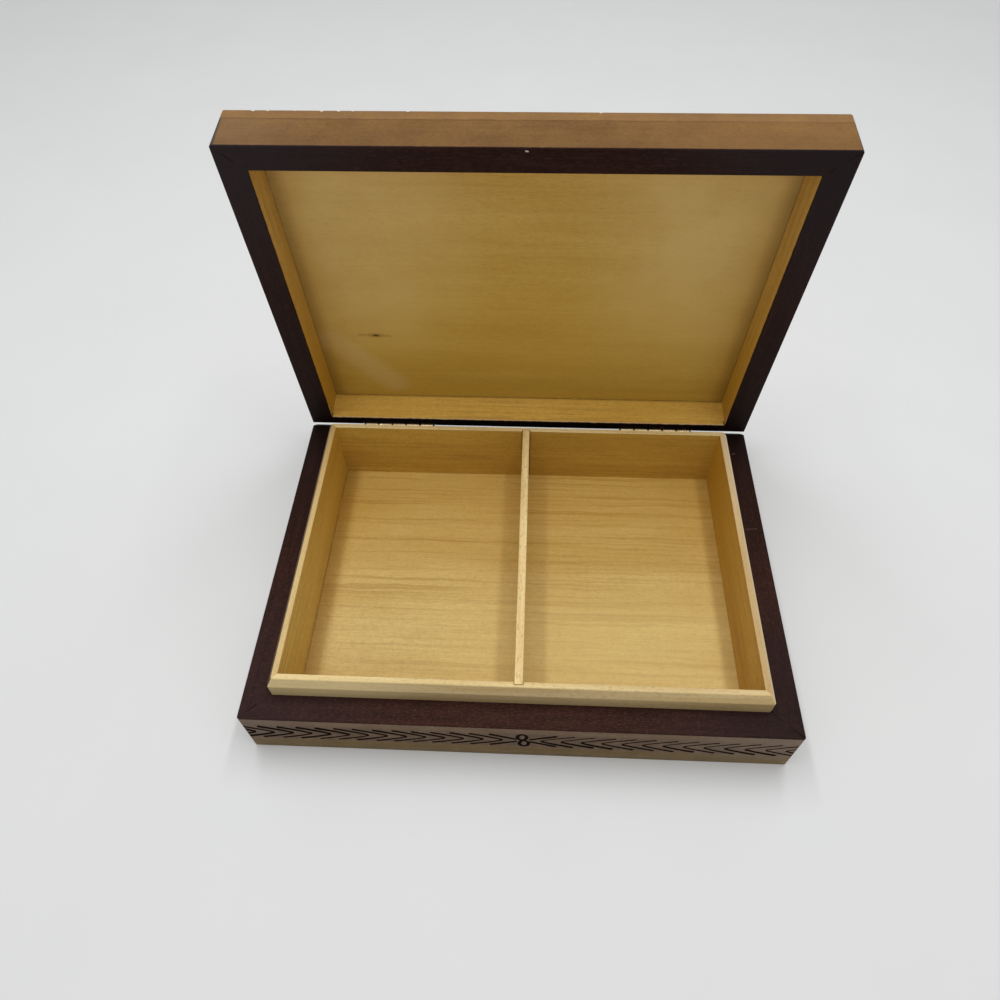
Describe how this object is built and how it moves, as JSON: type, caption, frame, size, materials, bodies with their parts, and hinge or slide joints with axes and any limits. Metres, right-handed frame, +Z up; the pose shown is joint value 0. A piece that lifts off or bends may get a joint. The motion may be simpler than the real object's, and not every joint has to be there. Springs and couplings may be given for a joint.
{
  "type": "carved wooden trinket box",
  "caption": "Rectangular wooden box for trinkets and papers, with a pale raised liner, a divider, and a stained base and lid joined by small hinges in a bevelled groove.",
  "frame": {"origin": "middle of the underside of the base", "axes": "+X to the right as seen from the front, +Y towards the hinges at the back, +Z up; the lid stands open"},
  "size_m": [0.216, 0.1756, 0.1841],
  "materials": {
    "stained_wood": "satin lacquer over brown stain, pale inside",
    "pale_wood": "bare, smoothly planed",
    "hinge_brass": "dull, slightly darkened",
    "nail_brass": "dull, slightly darkened",
    "pin_steel": "drawn wire"
  },
  "bodies": {
    "base": {"base_panel": "stained_wood", "base_front_wall": "stained_wood", "base_back_wall": "stained_wood", "base_left_wall": "stained_wood", "base_right_wall": "stained_wood", "liner_front_strip": "pale_wood", "liner_back_strip": "pale_wood", "liner_left_strip": "pale_wood", "liner_right_strip": "pale_wood", "divider": "pale_wood", "left_hinge_base_leaf": "hinge_brass", "left_hinge_pin": "pin_steel", "left_hinge_base_nails": "nail_brass", "right_hinge_base_leaf": "hinge_brass", "right_hinge_pin": "pin_steel", "right_hinge_base_nails": "nail_brass"},
    "lid": {"lid_panel": "stained_wood", "lid_front_wall": "stained_wood", "lid_back_wall": "stained_wood", "lid_left_wall": "stained_wood", "lid_right_wall": "stained_wood", "left_hinge_lid_leaf": "hinge_brass", "left_hinge_lid_nails": "nail_brass", "right_hinge_lid_leaf": "hinge_brass", "right_hinge_lid_nails": "nail_brass"}
  },
  "joints": [
    {"name": "lid_hinge", "type": "hinge", "parent": "base", "child": "lid", "pos_m": [0, 0.07566, 0.02765], "axis": [1, 0, 0], "range_deg": [0, 83]}
  ]
}
